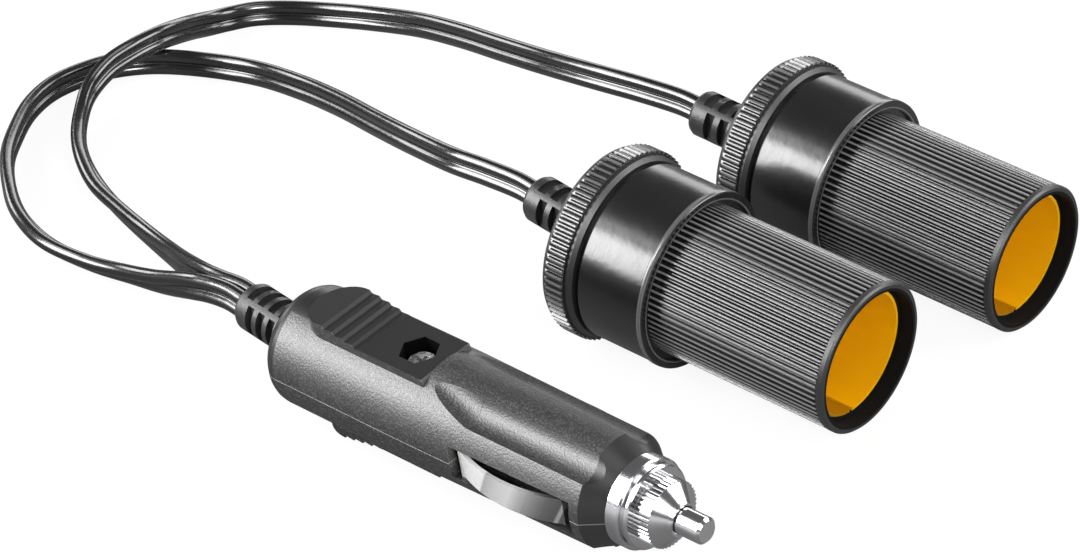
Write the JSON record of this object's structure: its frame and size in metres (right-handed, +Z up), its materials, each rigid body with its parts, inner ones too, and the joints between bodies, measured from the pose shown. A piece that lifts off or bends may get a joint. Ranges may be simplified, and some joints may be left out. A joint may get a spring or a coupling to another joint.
{
  "type": "car power socket splitter",
  "caption": "Black 12 V car power splitter: fused plug with chrome tip and side contacts, two short twin leads and two in-line sockets with amber sleeves",
  "frame": {"origin": "middle of the plug and sockets' box, at floor height, leads left out", "axes": "+X is the way the plug is pushed into a car's socket, +Z is up from the floor that all three ends lie on, +Y runs from the plug to the sockets"},
  "size_m": [0.2069, 0.1274, 0.0342],
  "materials": {
    "matt_moulding": "fine grain, matt",
    "socket_moulding": "smooth, semi-gloss",
    "boot_rubber": "satin",
    "cable_jacket": "smooth, glossy",
    "chrome_plate": "bright plating",
    "bright_steel": "bright, drawn",
    "clear_glass": "clear",
    "amber_metal": "bright, golden",
    "fibre_disc": "pressed fibre",
    "brass_strip": "bright"
  },
  "bodies": {
    "housing": {"plug_upper_shell": "matt_moulding", "plug_lower_shell": "matt_moulding", "shell_screw": "bright_steel", "shell_nut": "bright_steel", "contact_spring": "bright_steel", "plug_terminal": "brass_strip", "ground_strip": "brass_strip", "plug_boot": "boot_rubber", "near_cable": "cable_jacket", "far_cable": "cable_jacket", "near_barrel": "socket_moulding", "near_collar": "socket_moulding", "near_cap": "socket_moulding", "near_sleeve": "amber_metal", "near_insulator": "fibre_disc", "near_stud": "brass_strip", "near_washer": "bright_steel", "near_nut": "bright_steel", "near_tag_plus": "brass_strip", "near_tag_minus": "brass_strip", "near_boot": "boot_rubber", "far_barrel": "socket_moulding", "far_collar": "socket_moulding", "far_cap": "socket_moulding", "far_sleeve": "amber_metal", "far_insulator": "fibre_disc", "far_stud": "brass_strip", "far_washer": "bright_steel", "far_nut": "bright_steel", "far_tag_plus": "brass_strip", "far_tag_minus": "brass_strip", "far_boot": "boot_rubber"},
    "nose_ring": {"nose_ring": "chrome_plate"},
    "nose_cap": {"nose_cap": "chrome_plate"},
    "pin_fuse": {"centre_pin": "chrome_plate", "fuse_glass": "clear_glass", "fuse_caps": "chrome_plate"},
    "contact_right": {"contact_right": "bright_steel"},
    "contact_left": {"contact_left": "bright_steel"}
  },
  "joints": [
    {"name": "cap_travel", "type": "slide", "parent": "housing", "child": "nose_ring", "axis": [1, 0, 0], "range_m": [0, 0.0025]},
    {"name": "cap_turn", "type": "hinge", "parent": "nose_ring", "child": "nose_cap", "pos_m": [0.0417, -0.0518, 0.01241], "axis": [1, 0, 0], "range_deg": [0, 900]},
    {"name": "pin_push", "type": "slide", "parent": "nose_ring", "child": "pin_fuse", "axis": [1, 0, 0], "range_m": [-0.0025, 0], "stiffness_N_per_m": 300, "deforming": ["contact_spring"]},
    {"name": "contact_right_flex", "type": "hinge", "parent": "housing", "child": "contact_right", "pos_m": [0.0071, -0.05953, 0.01077], "axis": [0, -0.2079, 0.9781], "range_deg": [0, 3.5], "stiffness_Nm_per_rad": 0.1},
    {"name": "contact_left_flex", "type": "hinge", "parent": "housing", "child": "contact_left", "pos_m": [0.0071, -0.04407, 0.01406], "axis": [0, 0.2079, -0.9781], "range_deg": [0, 3.5], "stiffness_Nm_per_rad": 0.1}
  ],
  "couplings": [
    {"joint": "cap_turn", "follows": "cap_travel", "rad_per_m": 6283.2}
  ]
}
